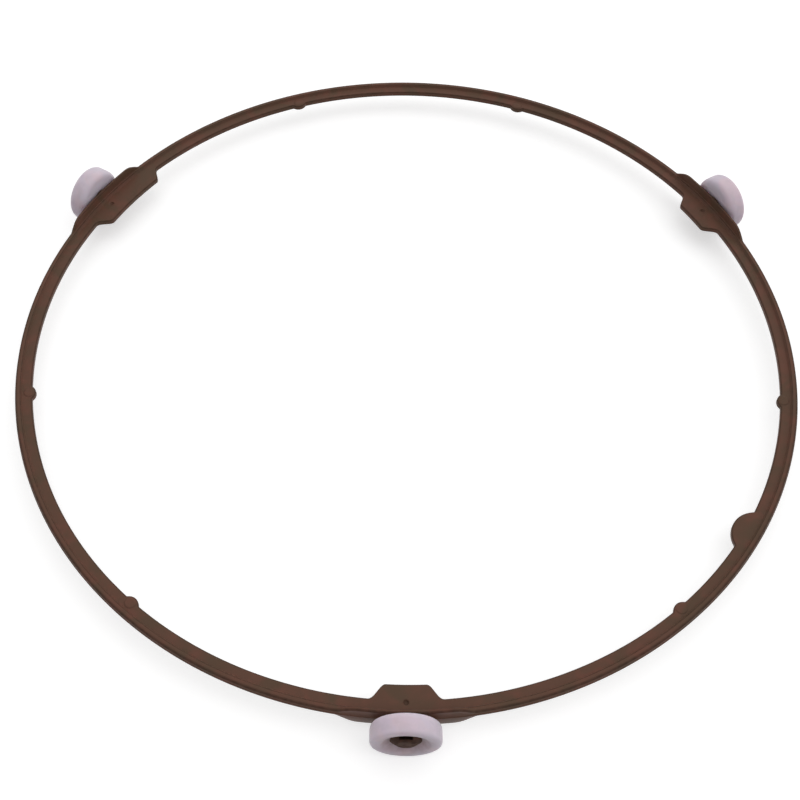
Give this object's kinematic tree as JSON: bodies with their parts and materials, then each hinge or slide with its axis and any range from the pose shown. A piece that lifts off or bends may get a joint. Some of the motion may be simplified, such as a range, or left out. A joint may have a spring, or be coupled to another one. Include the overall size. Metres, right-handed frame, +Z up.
{
  "type": "microwave roller ring",
  "caption": "Thin brown moulded ring with pale wheels on radial stub axles, which carries and centres the glass turntable tray of a microwave oven.",
  "frame": {"origin": "centre of the ring, on the floor that the wheels stand on", "axes": "+Z up along the turntable axis; -Y points to the front wheel; the other wheels are at 30 and 150 degrees from +X"},
  "size_m": [0.22, 0.2263, 0.017],
  "materials": {
    "ring_plastic": "brown heat-resistant moulded plastic with a satin sheen",
    "wheel_plastic": "pale lilac-white moulded plastic, smooth and slightly waxy"
  },
  "bodies": {
    "ring": {"ring_frame": "ring_plastic"},
    "wheel_front": {"front_wheel": "wheel_plastic"},
    "wheel_back_right": {"back_right_wheel": "wheel_plastic"},
    "wheel_back_left": {"back_left_wheel": "wheel_plastic"}
  },
  "joints": [
    {"name": "front_wheel_spin", "type": "hinge", "parent": "ring", "child": "wheel_front", "pos_m": [0, -0.11365, 0.0085], "axis": [0, -1, 0], "continuous": true},
    {"name": "back_right_wheel_spin", "type": "hinge", "parent": "ring", "child": "wheel_back_right", "pos_m": [0.09764, 0.05638, 0.0085], "axis": [0.866, 0.5, 0], "continuous": true},
    {"name": "back_left_wheel_spin", "type": "hinge", "parent": "ring", "child": "wheel_back_left", "pos_m": [-0.09764, 0.05638, 0.0085], "axis": [-0.866, 0.5, 0], "continuous": true}
  ]
}
